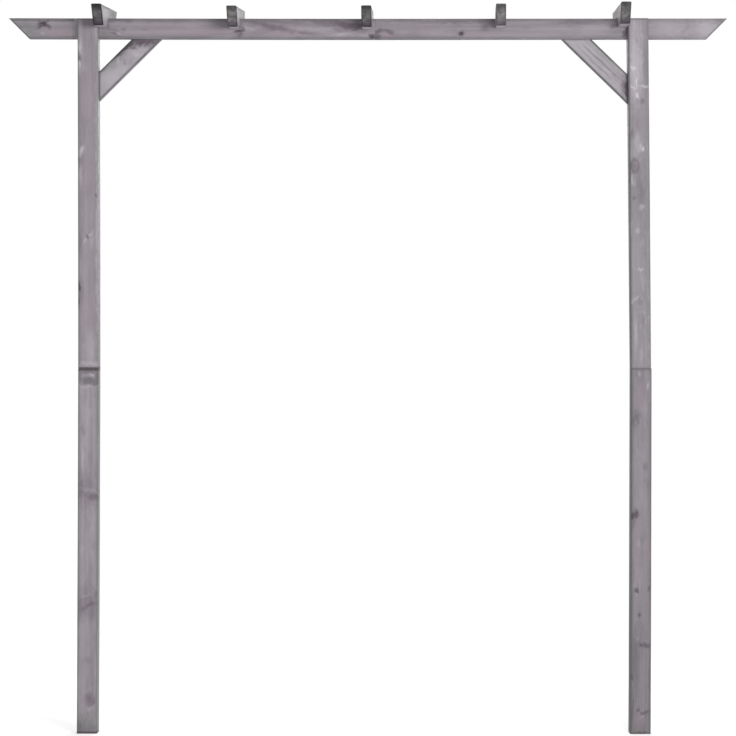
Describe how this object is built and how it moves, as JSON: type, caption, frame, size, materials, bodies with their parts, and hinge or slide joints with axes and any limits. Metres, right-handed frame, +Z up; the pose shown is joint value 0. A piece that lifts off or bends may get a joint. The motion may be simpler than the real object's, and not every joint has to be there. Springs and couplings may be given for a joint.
{
  "type": "flat-topped garden pergola arch",
  "caption": "Flat-topped timber garden arch with split square posts, a spliced beam with pointed ends, notched cross rafters and corner braces.",
  "frame": {"origin": "on the ground, under the middle of the beam's length and thickness", "axes": "+X to the right seen from the front, +Y to the back, +Z up"},
  "size_m": [2, 0.4, 2.0235],
  "materials": {
    "stained_pine": "planed pine with a thin grey-mauve stain, matt, knots and grain showing through",
    "beech": "bare turned hardwood dowel",
    "zinc_plated_steel": "bright zinc plate, slightly dull"
  },
  "bodies": {
    "root": {"left_lower_post": "stained_pine", "right_lower_post": "stained_pine", "left_upper_post": "stained_pine", "right_upper_post": "stained_pine", "beam_left": "stained_pine", "beam_right": "stained_pine", "rafter_1": "stained_pine", "rafter_2": "stained_pine", "rafter_3": "stained_pine", "rafter_4": "stained_pine", "rafter_5": "stained_pine", "left_brace": "stained_pine", "right_brace": "stained_pine", "left_post_dowels": "beech", "right_post_dowels": "beech", "left_beam_screws": "zinc_plated_steel", "right_beam_screws": "zinc_plated_steel", "left_brace_screws": "zinc_plated_steel", "right_brace_screws": "zinc_plated_steel", "rafter_screws": "zinc_plated_steel", "splice_screws": "zinc_plated_steel"}
  },
  "joints": []
}
